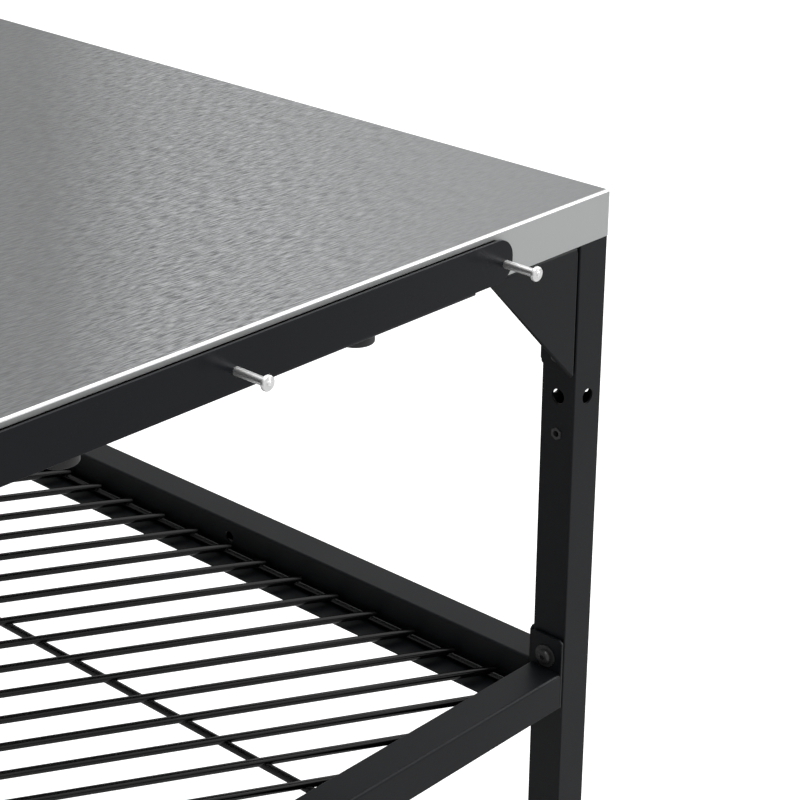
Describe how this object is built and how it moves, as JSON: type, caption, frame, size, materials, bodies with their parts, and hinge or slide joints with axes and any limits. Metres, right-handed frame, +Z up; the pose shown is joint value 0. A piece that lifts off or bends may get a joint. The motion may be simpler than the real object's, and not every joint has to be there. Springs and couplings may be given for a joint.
{
  "type": "outdoor pizza oven table",
  "caption": "Outdoor table with a folded brushed steel top on black square legs with corner gussets, a lift-out slanted wire shelf and a clamped hook rail.",
  "frame": {"origin": "On the floor, under the middle of the table top.", "axes": "+Z is up. -Y is the front, where the hook rail is, and +X is the right side seen from the front."},
  "size_m": [0.6, 0.8277, 0.9],
  "materials": {
    "top_steel": "brushed",
    "frame_coat": "satin powder coat",
    "rack_coat": "satin powder coat",
    "nut_steel": "black zinc",
    "peg_chrome": "polished",
    "knob_plastic": "matte",
    "stud_steel": "zinc plated",
    "foot_plastic": "matte"
  },
  "bodies": {
    "table": {"accessory_inserts": "nut_steel", "front_brace": "frame_coat", "front_frame_rail": "frame_coat", "front_shelf_rail": "frame_coat", "gusset_front_left_crosswise": "frame_coat", "gusset_front_left_lengthwise": "frame_coat", "gusset_front_right_crosswise": "frame_coat", "gusset_front_right_lengthwise": "frame_coat", "gusset_rear_left_crosswise": "frame_coat", "gusset_rear_left_lengthwise": "frame_coat", "gusset_rear_right_crosswise": "frame_coat", "gusset_rear_right_lengthwise": "frame_coat", "hook_pegs": "peg_chrome", "hook_rail": "frame_coat", "left_frame_rail": "frame_coat", "left_shelf_rail": "frame_coat", "leg_feet": "foot_plastic", "leg_front_left": "frame_coat", "leg_front_right": "frame_coat", "leg_rear_left": "frame_coat", "leg_rear_right": "frame_coat", "leg_rivet_nuts": "nut_steel", "rear_brace": "frame_coat", "rear_frame_rail": "frame_coat", "rear_shelf_rail": "frame_coat", "right_frame_rail": "frame_coat", "right_shelf_rail": "frame_coat", "top_panel": "top_steel"},
    "shelf_rack": {"wire_rack": "rack_coat"},
    "clamp_stud_left": {"clamp_stud_left": "stud_steel"},
    "clamp_stud_right": {"clamp_stud_right": "stud_steel"},
    "clamp_knob_left": {"clamp_knob_left": "knob_plastic"},
    "clamp_knob_right": {"clamp_knob_right": "knob_plastic"}
  },
  "joints": [
    {"name": "rack_lift", "type": "slide", "parent": "table", "child": "shelf_rack", "axis": [0, 0, 1], "range_m": [0, 0.25]},
    {"name": "clamp_screw_left", "type": "slide", "parent": "table", "child": "clamp_stud_left", "axis": [0, 0, -1], "range_m": [0, 0.003]},
    {"name": "clamp_turn_left", "type": "hinge", "parent": "clamp_stud_left", "child": "clamp_knob_left", "pos_m": [-0.1, -0.3889, 0.866], "axis": [0, 0, -1], "range_deg": [0, 1080]},
    {"name": "clamp_screw_right", "type": "slide", "parent": "table", "child": "clamp_stud_right", "axis": [0, 0, -1], "range_m": [0, 0.003]},
    {"name": "clamp_turn_right", "type": "hinge", "parent": "clamp_stud_right", "child": "clamp_knob_right", "pos_m": [0.1, -0.3889, 0.866], "axis": [0, 0, -1], "range_deg": [0, 1080]}
  ],
  "couplings": [
    {"joint": "clamp_turn_left", "follows": "clamp_screw_left", "rad_per_m": 6283.2},
    {"joint": "clamp_turn_right", "follows": "clamp_screw_right", "rad_per_m": 6283.2}
  ]
}
